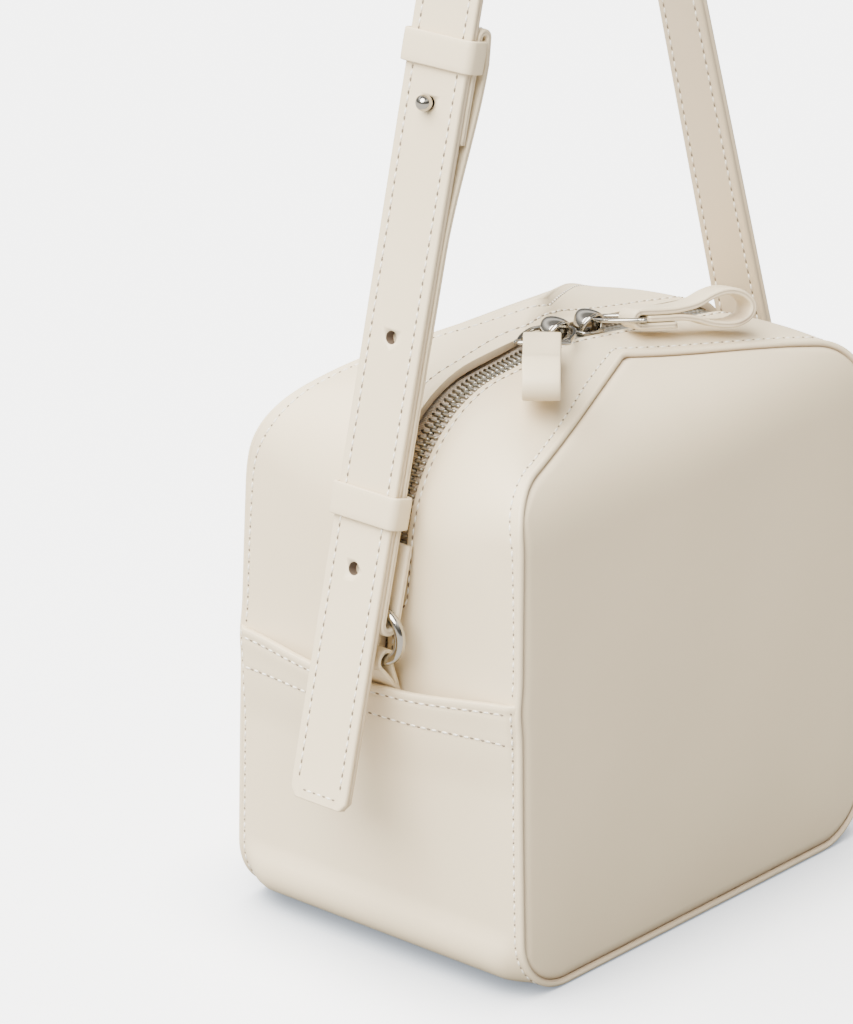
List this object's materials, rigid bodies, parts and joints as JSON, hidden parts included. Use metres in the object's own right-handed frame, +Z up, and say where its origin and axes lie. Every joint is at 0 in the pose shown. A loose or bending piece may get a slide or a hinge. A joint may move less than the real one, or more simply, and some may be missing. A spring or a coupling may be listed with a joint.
{
  "type": "box bag",
  "caption": "Cream leather box bag with a soft folded top, two-way zip with strap pulls, piped edges and an adjustable shoulder strap.",
  "frame": {"origin": "inside the shoulder strap at its crown, where a hook or a hand holds the bag up", "axes": "+Z up, +X to the bag's right as seen from its front, -Y the front panel"},
  "size_m": [0.2362, 0.1318, 0.4563],
  "materials": {
    "front_panel": "smooth cream leather with a soft sheen",
    "back_panel": "smooth cream leather with a soft sheen",
    "base_gusset": "smooth cream leather with a soft sheen",
    "zip_gusset_front": "smooth cream leather with a soft sheen",
    "zip_gusset_back": "smooth cream leather with a soft sheen",
    "piping_front": "smooth cream leather with a soft sheen",
    "piping_back": "smooth cream leather with a soft sheen",
    "zip_tape_front": "woven cream zip tape",
    "zip_tape_back": "woven cream zip tape",
    "zip_teeth": "polished nickel",
    "slider_left": "polished nickel",
    "bail_left": "polished nickel",
    "pull_left": "smooth cream leather with a soft sheen",
    "slider_right": "polished nickel",
    "bail_right": "polished nickel",
    "pull_right": "smooth cream leather with a soft sheen",
    "strap_long": "smooth cream leather with a soft sheen",
    "strap_short": "smooth cream leather with a soft sheen",
    "keeper_upper": "smooth cream leather with a soft sheen",
    "keeper_lower": "smooth cream leather with a soft sheen",
    "strap_stud": "polished nickel",
    "ring_left": "polished nickel",
    "ring_right": "polished nickel",
    "tab_left": "smooth cream leather with a soft sheen",
    "tab_right": "smooth cream leather with a soft sheen"
  },
  "bodies": {
    "root": {"front_panel": "front_panel", "back_panel": "back_panel", "base_gusset": "base_gusset", "zip_gusset_front": "zip_gusset_front", "zip_gusset_back": "zip_gusset_back", "piping_front": "piping_front", "piping_back": "piping_back", "zip_tape_front": "zip_tape_front", "zip_tape_back": "zip_tape_back", "zip_teeth": "zip_teeth", "slider_left": "slider_left", "bail_left": "bail_left", "pull_left": "pull_left", "slider_right": "slider_right", "bail_right": "bail_right", "pull_right": "pull_right", "strap_long": "strap_long", "strap_short": "strap_short", "keeper_upper": "keeper_upper", "keeper_lower": "keeper_lower", "strap_stud": "strap_stud", "ring_left": "ring_left", "ring_right": "ring_right", "tab_left": "tab_left", "tab_right": "tab_right"}
  },
  "joints": []
}
